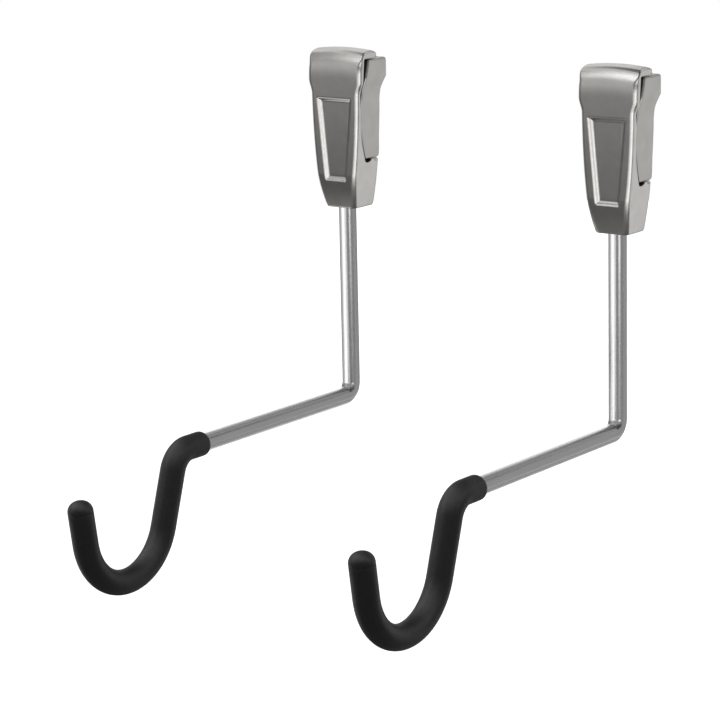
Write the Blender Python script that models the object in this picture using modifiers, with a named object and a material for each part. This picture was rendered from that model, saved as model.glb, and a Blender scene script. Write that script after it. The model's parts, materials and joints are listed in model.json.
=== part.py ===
"""Horizontal bike wall mount: a pair of rail hooks, each a bent rod in a cast clip head.

Metres, +Z up, +Y into the wall. The origin lies on the rail's front face, midway between
the two hooks, at the height of the latch noses. Each hook is built in its own frame, which
has its origin on the rod's axis at the underside of the head.
"""
import math
from math import cos, pi, radians, sin, tan

import bmesh
import bpy
from mathutils import Matrix, Vector

# The pair
HOOK_SPACING = 0.178
CLEARANCE = 0.0003

# The rod, from its end inside the head down to the arm and out to the tip
ROD_RADIUS = 0.005
ROD_INSERTION = 0.043
ROD_DROP = 0.109
ELBOW_RADIUS = 0.008
ARM_REACH = 0.150
NECK_RADIUS = 0.014
NECK_TURN = radians(72)
NECK_RUN = 0.030
CRADLE_RADIUS = 0.0325
CRADLE_TURN = radians(153)
TIP_RUN = 0.018
ROD_SIDES = 16
BEND_STEP = radians(10)

# The sleeve on the hook end, and the cap in its end
SLEEVE_OVERHANG = 0.012
SLEEVE_WALL = 0.0015
SLEEVE_EDGE = 0.0010
SLEEVE_SIDES = 18
CAP_STEM = 0.0035
CAP_DOME = 0.0061

# Heights in the head, each above the one before
LEDGE_HEIGHT = 0.0280
PIVOT_RISE = 0.0100
NOSE_RISE = 0.0225
NOSE_HEIGHT = 0.0092
LIP_THICKNESS = 0.0062
PIVOT_HEIGHT = ROD_INSERTION + PIVOT_RISE
NOSE_UNDERSIDE = PIVOT_HEIGHT + NOSE_RISE
NOSE_TOP = NOSE_UNDERSIDE + NOSE_HEIGHT
LIP_UNDERSIDE = NOSE_TOP + 2 * CLEARANCE
HEAD_HEIGHT = LIP_UNDERSIDE + LIP_THICKNESS

# Depths in the head, from the rod's axis
FACE_DEPTH = 0.0110
RAIL_DEPTH = 0.0122
FRONT_WALL = 0.0033
CHIN_WALL = 0.0015
CHIN_HEIGHT = 0.020
HEEL_RADIUS = 0.0030
LIP_REACH = 0.0085
NOTCH_DEPTH = 0.0022
NOTCH_LENGTH = 0.0060

# The head's outline from the front
FOOT_HALF_WIDTH = 0.0102
SWELL_HALF_WIDTH = 0.0158
SWELL_HEIGHT = 0.024
WAIST_HALF_WIDTH = 0.0164
WAIST_DROP = 0.0095
SHOULDER_RUN = 0.0060
BROW_HALF_WIDTH = 0.0184
BROW_DROP = 0.0010
CROWN_RISE = 0.0022
CORNER_RADIUS = 0.0030
CORNER_TURN = radians(65)
EDGE_ROUND = 0.0011

# The sunken panel in the front wall, with its sloping border
PANEL_BOTTOM = 0.0158
PANEL_TOP_DROP = 0.0120
PANEL_BOTTOM_HALF = 0.0070
PANEL_TOP_HALF = 0.0118
PANEL_BORDER = 0.0029
PANEL_DEPTH = 0.0018

# The column inside the head, which the rod goes up into
COLUMN_SIDE_WALL = 0.0027
COLUMN_BACK_WALL = 0.0039
COLUMN_ROOT = 0.0006
COLUMN_HEADROOM = 0.0014
MOUTH_GAP = 0.0004
MOUTH_DEPTH = 0.002
COLUMN_HALF_WIDTH = ROD_RADIUS + CLEARANCE + COLUMN_SIDE_WALL
COLUMN_BACK = ROD_RADIUS + CLEARANCE + COLUMN_BACK_WALL

# The latch lever
LATCH_TRAVEL = radians(3.0)
PIVOT_DEPTH = 0.003
LEVER_FOOT_DEPTH = 0.0016
LEVER_TOP_DEPTH = 0.0007
BOW_SKEW = 0.893
NOSE_REACH = 0.0036
NOSE_HALF_WIDTH = 0.0179
NOSE_CHAMFER = 0.0019
NOSE_NECK = 0.0115
NOSE_FLOOR = 0.0031
CHEEK_SETBACK = 0.0017
CHEEK_FOOT_SETBACK = 0.0009
CHEEK_FOOT_CHAMFER = 0.0010

# The lever's cross pin and its washers
PIN_RADIUS = 0.002
PIN_RECESS = 0.0005
PIN_SKIN = 0.0016
WASHER_RADIUS = 0.0045
WASHER_THICKNESS = 0.0008
CHEEK_INSIDE = COLUMN_HALF_WIDTH + WASHER_THICKNESS + 2 * CLEARANCE

# The tooth under the lip that stops the lever, and its groove in the nose
TOOTH_HALF_WIDTH = 0.007
TOOTH_SETBACK = 0.0005
TOOTH_LENGTH = 0.0026
TOOTH_DROP = 0.0017

# The latch spring
SPRING_RISE = 0.0030
SPRING_RADIUS = 0.0029
SPRING_WIRE_RADIUS = 0.0004
SPRING_TURNS = 6
SPRING_POCKET = 0.0082
SPRING_SEAT = 0.0008
SPRING_SIDES = 6
POINTS_PER_TURN = 9
SPRING_HEIGHT = NOSE_UNDERSIDE + SPRING_RISE
SPRING_OUTSIDE = SPRING_RADIUS + SPRING_WIRE_RADIUS

# The pin and the grub screw that hold the rod
LOCK_PIN_RADIUS = 0.0015
LOCK_PIN_DROP = 0.0070
LOCK_PIN_BLIND = 0.0020
LOCK_PIN_HEIGHT = ROD_INSERTION - LOCK_PIN_DROP
SCREW_HEIGHT = 0.013
SCREW_RADIUS = 0.0025
SCREW_LENGTH = 0.006
SCREW_SOCKET_RADIUS = 0.00145
SCREW_SOCKET_DEPTH = 0.0022

# How finely round shapes and curved outlines are cut
HOLE_SIDES = 16
SMALL_SIDES = 12
WASHER_SIDES = 20
FLANK_STEPS = 8
SHOULDER_STEPS = 4
ARC_STEPS = 8
BOW_STEPS = 9

# A cutter reaches this far past the surface that it cuts, and outlines this far to each side
PAST = 0.001
OUTLINE_REACH = 0.03

ORIGIN = Vector((0, 0, 0))
UPRIGHT = Matrix.Identity(4)
PIVOT = Vector((0, PIVOT_DEPTH, PIVOT_HEIGHT))
SIDE_PLANE = Matrix(((0, 0, 1, 0), (1, 0, 0, 0), (0, 1, 0, 0), (0, 0, 0, 1)))
FRONT_PLANE = Matrix(((1, 0, 0, 0), (0, 0, -1, 0), (0, 1, 0, 0), (0, 0, 0, 1)))
ALONG_X = Matrix.Rotation(pi / 2, 4, "Y")
ALONG_Y = Matrix.Rotation(-pi / 2, 4, "X")


def clear_scene():
    for obj in list(bpy.data.objects):
        bpy.data.objects.remove(obj, do_unlink=True)


def new_collection(name):
    collection = bpy.data.collections.new(name)
    bpy.context.scene.collection.children.link(collection)
    return collection


def make_material(name, colour, roughness, metallic):
    material = bpy.data.materials.new(name)
    material.use_nodes = True
    shader = material.node_tree.nodes["Principled BSDF"]
    shader.inputs["Base Color"].default_value = (*colour, 1.0)
    shader.inputs["Roughness"].default_value = roughness
    shader.inputs["Metallic"].default_value = metallic
    return material


def new_empty(name, collection, location, parent=None):
    empty = bpy.data.objects.new(name, None)
    empty.empty_display_size = 0.01
    empty.location = location
    empty.parent = parent
    collection.objects.link(empty)
    return empty


def mesh_from_curve(data):
    """The closed mesh of a filled or beveled curve, with its caps welded on."""
    curve = bpy.data.objects.new(data.name, data)
    bpy.context.scene.collection.objects.link(curve)
    graph = bpy.context.evaluated_depsgraph_get()
    mesh = bpy.data.meshes.new_from_object(curve.evaluated_get(graph), depsgraph=graph)
    bpy.data.objects.remove(curve)
    work = bmesh.new()
    work.from_mesh(mesh)
    bmesh.ops.remove_doubles(work, verts=work.verts, dist=1e-6)
    bmesh.ops.recalc_face_normals(work, faces=work.faces)
    work.to_mesh(mesh)
    work.free()
    return mesh


def outline_mesh(points, half_thickness, plane):
    """A flat outline, thickened both ways and turned into the given plane."""
    data = bpy.data.curves.new("outline", "CURVE")
    data.dimensions = "2D"
    data.fill_mode = "BOTH"
    data.extrude = half_thickness
    spline = data.splines.new("POLY")
    spline.points.add(len(points) - 1)
    for point, (u, v) in zip(spline.points, points):
        point.co = (u, v, 0, 1)
    spline.use_cyclic_u = True
    mesh = mesh_from_curve(data)
    mesh.transform(plane)
    return mesh


def tube_mesh(points, radius, sides, shares=None):
    """A round tube along points; shares scales the radius at each point."""
    data = bpy.data.curves.new("tube", "CURVE")
    data.dimensions = "3D"
    data.bevel_depth = radius
    data.bevel_resolution = (sides - 4) // 2
    data.use_fill_caps = True
    spline = data.splines.new("POLY")
    spline.points.add(len(points) - 1)
    for index, place in enumerate(points):
        spline.points[index].co = (*place, 1)
        spline.points[index].radius = shares[index] if shares else 1
    return mesh_from_curve(data)


def bar_mesh(radius, low, high, sides, turn, place):
    """A straight round bar from low to high along its axis, turned and then moved."""
    work = bmesh.new()
    bmesh.ops.create_cone(work, cap_ends=True, segments=sides, radius1=radius,
                          radius2=radius, depth=high - low)
    mesh = bpy.data.meshes.new("bar")
    work.to_mesh(mesh)
    work.free()
    middle = Matrix.Translation((0, 0, (low + high) / 2))
    mesh.transform(Matrix.Translation(place) @ turn @ middle)
    return mesh


def box_mesh(low, high):
    """A box between two opposite corners."""
    work = bmesh.new()
    bmesh.ops.create_cube(work, size=1)
    mesh = bpy.data.meshes.new("box")
    work.to_mesh(mesh)
    work.free()
    low, high = Vector(low), Vector(high)
    size = Matrix.Diagonal((*(high - low), 1))
    mesh.transform(Matrix.Translation((low + high) / 2) @ size)
    return mesh


def ellipse(centre, radii, start, end, steps):
    """Points on an ellipse's arc, both ends included; angles from +u towards +v."""
    angles = [start + (end - start) * step / steps for step in range(steps + 1)]
    return [(centre[0] + radii[0] * cos(a), centre[1] + radii[1] * sin(a)) for a in angles]


class Hook:
    """One hook's frames and the two collections that its objects go in."""

    def __init__(self, side, position, parts, cutters):
        self.side = side
        self.parts = parts
        self.cutters = cutters
        place = (position, -RAIL_DEPTH, -(NOSE_UNDERSIDE + NOSE_TOP) / 2)
        self.frame = new_empty(f"{side}_hook_frame", parts, place)
        self.pivot = new_empty(f"{side}_latch_pivot", parts, PIVOT, self.frame)

    def seat(self, obj, on_latch):
        """Parent an object whose mesh is written in the hook's frame."""
        obj.parent = self.pivot if on_latch else self.frame
        obj.location = -PIVOT if on_latch else ORIGIN

    def part(self, name, mesh, material, on_latch=False):
        obj = bpy.data.objects.new(f"{self.side}_{name}", mesh)
        mesh.materials.clear()
        mesh.materials.append(material)
        mesh.shade_smooth()
        mesh.set_sharp_from_angle(angle=radians(32))
        self.parts.objects.link(obj)
        self.seat(obj, on_latch)
        return obj

    def boolean(self, target, name, mesh, operation, on_latch=False):
        """Cut, join or intersect target with a hidden solid."""
        tool = bpy.data.objects.new(f"{target.name}_{name}", mesh)
        tool.display_type = "WIRE"
        tool.hide_render = True
        self.cutters.objects.link(tool)
        self.seat(tool, on_latch)
        modifier = target.modifiers.new(name, "BOOLEAN")
        modifier.operation = operation
        modifier.object = tool
        modifier.solver = "EXACT"

    def cut(self, target, name, mesh, on_latch=False):
        self.boolean(target, name, mesh, "DIFFERENCE", on_latch)


def round_edges(obj, width, segments):
    """Round the edges that the outlines meet at, not the steps along a curved outline."""
    bevel = obj.modifiers.new("rounded edges", "BEVEL")
    bevel.width = width
    bevel.segments = segments
    bevel.limit_method = "ANGLE"
    bevel.angle_limit = radians(50)
    bevel.miter_outer = "MITER_SHARP"


def flank_curve():
    """The head's flank from its foot up to the waist, as (half width, height)."""
    foot = Vector((FOOT_HALF_WIDTH, 0.0))
    swell = Vector((SWELL_HALF_WIDTH, SWELL_HEIGHT))
    waist = Vector((WAIST_HALF_WIDTH, NOSE_UNDERSIDE - WAIST_DROP))
    points = []
    for step in range(FLANK_STEPS + 1):
        t = step / FLANK_STEPS
        points.append(tuple((1 - t) ** 2 * foot + 2 * t * (1 - t) * swell + t ** 2 * waist))
    return points


def flank_half_width(height):
    """The head's half width at a height below the waist."""
    points = flank_curve()
    for (low_x, low_z), (high_x, high_z) in zip(points, points[1:]):
        if height <= high_z:
            return low_x + (high_x - low_x) * (height - low_z) / (high_z - low_z)
    return WAIST_HALF_WIDTH


def shoulder_curve(half_width):
    """The S-shaped step from the waist out to a wider half width."""
    points = []
    for step in range(1, SHOULDER_STEPS + 1):
        t = step / SHOULDER_STEPS
        ease = t * t * (3 - 2 * t)
        points.append((WAIST_HALF_WIDTH + (half_width - WAIST_HALF_WIDTH) * ease,
                       NOSE_UNDERSIDE - WAIST_DROP + SHOULDER_RUN * t))
    return points


def both_sides(right_half):
    """Close an outline whose right half runs bottom to top, ending off the middle."""
    return right_half + [(-x, z) for x, z in reversed(right_half)]


def head_front_outline():
    """The head seen from the front: narrow foot, wider brow and a crowned top."""
    crown_edge = HEAD_HEIGHT - CROWN_RISE
    corner = (BROW_HALF_WIDTH - CORNER_RADIUS, crown_edge - CORNER_RADIUS)
    right = flank_curve() + shoulder_curve(BROW_HALF_WIDTH)
    right += ellipse(corner, (CORNER_RADIUS, CORNER_RADIUS), 0, CORNER_TURN, SHOULDER_STEPS)
    crown_start = right[-1][0]
    for share in (0.75, 0.5, 0.25):
        right.append((crown_start * share, crown_edge + CROWN_RISE * (1 - share ** 2)))
    return both_sides(right)


def lever_front_edge():
    """The lever's bowed front edge from its foot to the nose's top, as (depth, height)."""
    foot = LEDGE_HEIGHT + 1.5 * CLEARANCE
    bow = FACE_DEPTH - FRONT_WALL - CLEARANCE - (LEVER_FOOT_DEPTH + LEVER_TOP_DEPTH) / 2
    points = []
    for step in range(BOW_STEPS + 1):
        t = step / BOW_STEPS
        straight = LEVER_FOOT_DEPTH + (LEVER_TOP_DEPTH - LEVER_FOOT_DEPTH) * t
        points.append((-straight - bow * sin(pi * t ** BOW_SKEW), foot + (NOSE_TOP - foot) * t))
    return points


def throw(height):
    """How far forward the lever moves at a height when the latch is squeezed."""
    return max(0.0, height - PIVOT_HEIGHT) * tan(LATCH_TRAVEL)


def wall_back_edge():
    """The front wall's back, from under the lip down to the ledge: the lever's front
    edge, moved forward by the lever's throw and the running clearance."""
    points = [(depth - throw(height) - CLEARANCE, height)
              for depth, height in reversed(lever_front_edge())]
    return [(points[0][0], LIP_UNDERSIDE)] + points[1:]


def head_side_outline():
    """The head seen from the side: front wall, lip, the lever's seat and lower block."""
    chin = [(-ROD_RADIUS - CLEARANCE - CHIN_WALL, 0.0), (-FACE_DEPTH, CHIN_HEIGHT)]
    brow_height = NOSE_UNDERSIDE - BROW_DROP
    brow = ellipse((0, brow_height), (FACE_DEPTH, HEAD_HEIGHT - brow_height), pi, pi / 2,
                   ARC_STEPS)
    curl = ellipse((0, LIP_UNDERSIDE), (LIP_REACH, LIP_THICKNESS), pi / 2, 0, ARC_STEPS)
    wall_back = wall_back_edge()
    notch_middle = wall_back[-1][0] + NOTCH_LENGTH / 2
    notch = ellipse((notch_middle, LEDGE_HEIGHT), (NOTCH_LENGTH / 2, NOTCH_DEPTH), pi, 2 * pi,
                    ARC_STEPS)
    heel = ellipse((RAIL_DEPTH - HEEL_RADIUS, HEEL_RADIUS), (HEEL_RADIUS, HEEL_RADIUS),
                   0, -pi / 2, SHOULDER_STEPS)
    return chin + brow + curl[1:] + wall_back + notch[1:] + [(RAIL_DEPTH, LEDGE_HEIGHT)] + heel


def lever_side_outline():
    """The latch lever seen from the side."""
    front = lever_front_edge()
    foot = front[0][1]
    nose_back = RAIL_DEPTH + NOSE_REACH
    cheek_back = RAIL_DEPTH - CHEEK_SETBACK
    foot_back = RAIL_DEPTH - CHEEK_FOOT_SETBACK
    neck = ellipse((nose_back, NOSE_UNDERSIDE - NOSE_NECK), (nose_back - cheek_back, NOSE_NECK),
                   pi / 2, pi, SHOULDER_STEPS)
    return front + [(nose_back - NOSE_CHAMFER, NOSE_TOP), (nose_back, NOSE_TOP - NOSE_CHAMFER)] \
        + neck + [(cheek_back, (foot + PIVOT_HEIGHT) / 2), (foot_back, foot + CHEEK_FOOT_CHAMFER),
                  (foot_back - CHEEK_FOOT_CHAMFER, foot)]


def lever_front_outline():
    """The latch lever seen from the front; its side outline ends it at the top."""
    right = flank_curve() + shoulder_curve(NOSE_HALF_WIDTH)
    return both_sides(right + [(NOSE_HALF_WIDTH, NOSE_TOP + PAST)])


def panel_mesh():
    """The tapered tool that sinks the panel, with its sloping border."""
    mesh = box_mesh((-1, -1, -1), (1, 1, 1))
    top = NOSE_UNDERSIDE - PANEL_TOP_DROP
    flare = PANEL_BORDER * PAST / PANEL_DEPTH
    for vertex in mesh.vertices:
        x, y, z = vertex.co
        inset = PANEL_BORDER if y > 0 else -flare
        half = (PANEL_TOP_HALF if z > 0 else PANEL_BOTTOM_HALF) - inset
        height = top - inset if z > 0 else PANEL_BOTTOM + inset
        depth = -FACE_DEPTH + (PANEL_DEPTH if y > 0 else -PAST)
        vertex.co = (x * half, depth, height)
    return mesh


def spring_ends():
    """Depths of the spring's two seats: in the front wall and in the nose's pocket."""
    lever_face = min(depth for depth, height in lever_front_edge()
                     if height >= SPRING_HEIGHT - 2 * SPRING_OUTSIDE)
    wall_face = lever_face - throw(SPRING_HEIGHT) - CLEARANCE
    return wall_face - SPRING_SEAT, lever_face + SPRING_POCKET


def head_body(hook, material):
    body = hook.part("head_body", outline_mesh(head_side_outline(), OUTLINE_REACH, SIDE_PLANE),
                     material)
    front = outline_mesh(head_front_outline(), OUTLINE_REACH, FRONT_PLANE)
    hook.boolean(body, "front shape", front, "INTERSECT")
    round_edges(body, EDGE_ROUND, 2)
    root = -FACE_DEPTH + PANEL_DEPTH + COLUMN_ROOT
    column_top = NOSE_UNDERSIDE - NOSE_FLOOR - COLUMN_HEADROOM
    hook.boolean(body, "column", box_mesh((-COLUMN_HALF_WIDTH, root, LEDGE_HEIGHT / 2),
                                          (COLUMN_HALF_WIDTH, COLUMN_BACK, column_top)), "UNION")
    tooth_front, tooth_back = tooth_span()
    hook.boolean(body, "tooth", box_mesh((-TOOTH_HALF_WIDTH, tooth_front,
                                          LIP_UNDERSIDE - TOOTH_DROP),
                                         (TOOTH_HALF_WIDTH, tooth_back, LIP_UNDERSIDE + PAST)),
                 "UNION")
    bore_top = ROD_INSERTION + CLEARANCE
    hook.cut(body, "rod bore", bar_mesh(ROD_RADIUS + CLEARANCE, -PAST, bore_top, ROD_SIDES,
                                        UPRIGHT, ORIGIN))
    hook.cut(body, "mouth", bar_mesh(ROD_RADIUS + CLEARANCE + MOUTH_GAP, -PAST, MOUTH_DEPTH,
                                     ROD_SIDES, UPRIGHT, ORIGIN))
    hook.cut(body, "pin hole", bar_mesh(PIN_RADIUS + CLEARANCE, -COLUMN_HALF_WIDTH - PAST,
                                        COLUMN_HALF_WIDTH + PAST, HOLE_SIDES, ALONG_X, PIVOT))
    hook.cut(body, "panel", panel_mesh())
    seat = spring_ends()[0]
    hook.cut(body, "spring seat", bar_mesh(SPRING_OUTSIDE + CLEARANCE, seat,
                                           -LEVER_FOOT_DEPTH, HOLE_SIDES, ALONG_Y,
                                           (0, 0, SPRING_HEIGHT)))
    hook.cut(body, "lock pin hole", bar_mesh(LOCK_PIN_RADIUS + CLEARANCE, lock_pin_front(),
                                             RAIL_DEPTH + PAST, SMALL_SIDES, ALONG_Y,
                                             (0, 0, LOCK_PIN_HEIGHT)))
    hook.cut(body, "screw hole", bar_mesh(SCREW_RADIUS + CLEARANCE, 0, RAIL_DEPTH + PAST,
                                          HOLE_SIDES, ALONG_Y, (0, 0, SCREW_HEIGHT)))


def tooth_span():
    """Depths of the stop tooth's front and back."""
    back = LIP_REACH - TOOTH_SETBACK
    return back - TOOTH_LENGTH, back


def lock_pin_front():
    """Depth of the lock pin's blind end, in front of the rod."""
    return -ROD_RADIUS - CLEARANCE - LOCK_PIN_BLIND


def pin_span():
    """The lever pin's ends: open on the left, blind under the cheek's skin on the right."""
    cheek = flank_half_width(PIVOT_HEIGHT)
    return -cheek + PIN_RECESS, cheek - PIN_SKIN - CLEARANCE


def latch_lever(hook, material):
    lever = hook.part("latch_lever", outline_mesh(lever_side_outline(), OUTLINE_REACH,
                                                  SIDE_PLANE), material, on_latch=True)
    front = outline_mesh(lever_front_outline(), OUTLINE_REACH, FRONT_PLANE)
    hook.boolean(lever, "front shape", front, "INTERSECT", on_latch=True)
    round_edges(lever, EDGE_ROUND / 2, 1)
    channel = box_mesh((-CHEEK_INSIDE, -OUTLINE_REACH, 0),
                       (CHEEK_INSIDE, OUTLINE_REACH, NOSE_UNDERSIDE - NOSE_FLOOR))
    hook.cut(lever, "channel", channel, on_latch=True)
    pocket = bar_mesh(SPRING_OUTSIDE + CLEARANCE, -FACE_DEPTH, spring_ends()[1], HOLE_SIDES,
                      ALONG_Y, (0, 0, SPRING_HEIGHT))
    hook.cut(lever, "spring pocket", pocket, on_latch=True)
    tooth_front, tooth_back = tooth_span()
    groove = box_mesh((-TOOTH_HALF_WIDTH - CLEARANCE, tooth_front - CLEARANCE,
                       LIP_UNDERSIDE - TOOTH_DROP - 2 * CLEARANCE),
                      (TOOTH_HALF_WIDTH + CLEARANCE,
                       tooth_back + throw(LIP_UNDERSIDE) + CLEARANCE, NOSE_TOP + PAST))
    hook.cut(lever, "stop groove", groove, on_latch=True)
    pin_high = pin_span()[1]
    hook.cut(lever, "pin hole", bar_mesh(PIN_RADIUS + CLEARANCE, -OUTLINE_REACH,
                                         pin_high + CLEARANCE, HOLE_SIDES, ALONG_X, PIVOT),
             on_latch=True)


def lever_pin(hook, material):
    low, high = pin_span()
    hook.part("lever_pin", bar_mesh(PIN_RADIUS, low, high, HOLE_SIDES, ALONG_X, PIVOT), material)


def ring_profile(inner, outer, half):
    """A washer's section, starting and ending at the same corner."""
    return [(inner, half), (outer, half), (outer, -half), (inner, -half), (inner, half)]


def turned_mesh(profile, steps):
    """Spin a profile of (radius, height) points about Z; +X side runs top to bottom."""
    work = bmesh.new()
    points = [work.verts.new((radius, 0, height)) for radius, height in profile]
    for first, second in zip(points, points[1:]):
        work.edges.new((first, second))
    mesh = bpy.data.meshes.new("profile")
    work.to_mesh(mesh)
    work.free()
    obj = bpy.data.objects.new("profile", mesh)
    bpy.context.scene.collection.objects.link(obj)
    screw = obj.modifiers.new("turn", "SCREW")
    screw.steps = steps
    screw.render_steps = steps
    screw.use_merge_vertices = True
    screw.merge_threshold = 0.00002
    graph = bpy.context.evaluated_depsgraph_get()
    turned = bpy.data.meshes.new_from_object(obj.evaluated_get(graph), depsgraph=graph)
    bpy.data.objects.remove(obj)
    work = bmesh.new()
    work.from_mesh(turned)
    bmesh.ops.remove_doubles(work, verts=work.verts, dist=1e-6)
    bmesh.ops.recalc_face_normals(work, faces=work.faces)
    work.to_mesh(turned)
    work.free()
    return turned


def pivot_washers(hook, material):
    """A thrust washer on each side of the column."""
    middle = (COLUMN_HALF_WIDTH + CHEEK_INSIDE) / 2
    for number, side in ((1, -1), (2, 1)):
        ring = turned_mesh(ring_profile(PIN_RADIUS + CLEARANCE, WASHER_RADIUS,
                                        WASHER_THICKNESS / 2), WASHER_SIDES)
        ring.transform(Matrix.Translation(PIVOT + Vector((side * middle, 0, 0))) @ ALONG_X)
        hook.part(f"pivot_washer_{number}", ring, material)


def latch_spring(hook, material):
    front, back = spring_ends()
    inset = SPRING_WIRE_RADIUS + CLEARANCE
    length = back - front - 2 * inset
    count = SPRING_TURNS * POINTS_PER_TURN
    points = []
    for index in range(count + 1):
        angle = 2 * pi * index / POINTS_PER_TURN
        points.append(Vector((SPRING_RADIUS * cos(angle), front + inset + length * index / count,
                              SPRING_HEIGHT + SPRING_RADIUS * sin(angle))))
    apart = min((one - other).length for index, one in enumerate(points)
                for other in points[index + POINTS_PER_TURN // 2:])
    least = (apart - 2 * SPRING_WIRE_RADIUS) * 1000
    print(f"{hook.side} latch spring: least gap to itself {least:.2f} mm")
    hook.part("latch_spring", tube_mesh(points, SPRING_WIRE_RADIUS, SPRING_SIDES), material)


def route():
    """The rod's centre line from its top end to the sleeve's end, with distances along it."""
    place = Vector((0, 0, ROD_INSERTION))
    heading = 0.0
    points, distances = [place.copy()], [0.0]

    def straight(length):
        nonlocal place
        place = place + length * direction(heading)
        points.append(place.copy())
        distances.append(distances[-1] + length)

    def bend(radius, turn):
        nonlocal place, heading
        steps = max(2, math.ceil(abs(turn) / BEND_STEP))
        chord = 2 * radius * sin(abs(turn) / steps / 2)
        for _ in range(steps):
            place = place + chord * direction(heading + turn / steps / 2)
            heading += turn / steps
            points.append(place.copy())
            distances.append(distances[-1] + chord)

    straight(ROD_INSERTION + ROD_DROP - ELBOW_RADIUS)
    bend(ELBOW_RADIUS, pi / 2)
    straight(ARM_REACH - ELBOW_RADIUS)
    bend(NECK_RADIUS, -NECK_TURN)
    straight(NECK_RUN)
    bend(CRADLE_RADIUS, CRADLE_TURN)
    straight(TIP_RUN)
    return points, distances


def direction(heading):
    """Unit vector in the hook's plane: 0 is down and a quarter turn is away from the wall."""
    return Vector((0, -sin(heading), -cos(heading)))


def stretch(start, end):
    """The part of the rod's route between two distances along it."""
    points, distances = route()

    def at(distance):
        for index in range(1, len(points)):
            if distance <= distances[index]:
                span = distances[index] - distances[index - 1]
                share = (distance - distances[index - 1]) / span
                return points[index - 1].lerp(points[index], share)
        return points[-1]

    inner = [p for p, d in zip(points, distances) if start + 1e-6 < d < end - 1e-6]
    return [at(start)] + inner + [at(end)]


def sleeve_span():
    """Distances along the rod's route at which the sleeve starts and ends."""
    points, distances = route()
    arm_end = next(d for p, d in zip(points, distances) if p.y <= -ARM_REACH + 1e-6)
    return arm_end - SLEEVE_OVERHANG, distances[-1]


def rod(hook, material):
    line = stretch(0.0, sleeve_span()[1] - CAP_STEM - CLEARANCE)
    bar = hook.part("rod", tube_mesh(line, ROD_RADIUS, ROD_SIDES), material)
    hook.cut(bar, "lock pin hole", bar_mesh(LOCK_PIN_RADIUS + CLEARANCE, -2 * ROD_RADIUS,
                                            2 * ROD_RADIUS, SMALL_SIDES, ALONG_Y,
                                            (0, 0, LOCK_PIN_HEIGHT)))


def rod_lock_pin(hook, material):
    hook.part("rod_lock_pin", bar_mesh(LOCK_PIN_RADIUS, lock_pin_front() + CLEARANCE,
                                       COLUMN_BACK - CLEARANCE, SMALL_SIDES, ALONG_Y,
                                       (0, 0, LOCK_PIN_HEIGHT)), material)


def rod_set_screw(hook, material):
    front = ROD_RADIUS + CLEARANCE
    back = front + SCREW_LENGTH
    place = (0, 0, SCREW_HEIGHT)
    screw = hook.part("rod_set_screw", bar_mesh(SCREW_RADIUS, front, back, HOLE_SIDES, ALONG_Y,
                                                place), material)
    hook.cut(screw, "hex socket", bar_mesh(SCREW_SOCKET_RADIUS, back - SCREW_SOCKET_DEPTH,
                                           back + PAST, 6, ALONG_Y, place))


def grip_sleeve(hook, material):
    start, end = sleeve_span()
    outer_radius = ROD_RADIUS + CLEARANCE + SLEEVE_WALL
    outer = stretch(start, end)
    outer.insert(1, outer[0] + SLEEVE_EDGE * (outer[1] - outer[0]).normalized())
    shares = [1 - SLEEVE_EDGE / 2 / outer_radius] + [1.0] * (len(outer) - 1)
    sleeve = hook.part("grip_sleeve", tube_mesh(outer, outer_radius, SLEEVE_SIDES, shares),
                       material)
    bore = stretch(start, end)
    bore[0] = bore[0] - PAST * (bore[1] - bore[0]).normalized()
    bore[-1] = bore[-1] + PAST * (bore[-1] - bore[-2]).normalized()
    hook.cut(sleeve, "bore", tube_mesh(bore, ROD_RADIUS + CLEARANCE, ROD_SIDES))


def sleeve_end_cap(hook, material):
    """A domed cap whose short stem plugs the sleeve's open end."""
    points, _ = route()
    run = points[-1] - points[-2]
    radius = ROD_RADIUS + CLEARANCE + SLEEVE_WALL
    dome = ellipse((0, CLEARANCE), (radius, CAP_DOME), pi / 2, 0, ARC_STEPS)
    stem = [(ROD_RADIUS, CLEARANCE), (ROD_RADIUS, -CAP_STEM), (0, -CAP_STEM)]
    mesh = turned_mesh(dome + stem, SLEEVE_SIDES)
    mesh.transform(Matrix.Translation(points[-1]) @ run.to_track_quat("Z", "X").to_matrix().to_4x4())
    hook.part("sleeve_end_cap", mesh, material)


def main():
    clear_scene()
    parts = new_collection("bike_wall_mount")
    cutters = new_collection("cutters")
    cast = make_material("satin_cast_metal", (0.62, 0.61, 0.58), 0.32, 1.0)
    steel = make_material("bright_steel", (0.66, 0.66, 0.66), 0.22, 1.0)
    zinc = make_material("zinc_steel", (0.55, 0.55, 0.56), 0.35, 1.0)
    nylon = make_material("nylon", (0.75, 0.74, 0.70), 0.45, 0.0)
    grip = make_material("black_sleeve", (0.015, 0.015, 0.016), 0.62, 0.0)
    for side, position in (("left", -HOOK_SPACING / 2), ("right", HOOK_SPACING / 2)):
        hook = Hook(side, position, parts, cutters)
        head_body(hook, cast)
        latch_lever(hook, cast)
        lever_pin(hook, zinc)
        pivot_washers(hook, nylon)
        latch_spring(hook, zinc)
        rod(hook, steel)
        rod_lock_pin(hook, zinc)
        rod_set_screw(hook, zinc)
        grip_sleeve(hook, grip)
        sleeve_end_cap(hook, grip)


main()
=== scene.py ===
"""Dresses the bike wall mount's CAD frame: cast heads and latches, bent rods, black sleeves."""
import json
import math

import bpy
import numpy as np
from mathutils import Matrix, Vector

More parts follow.
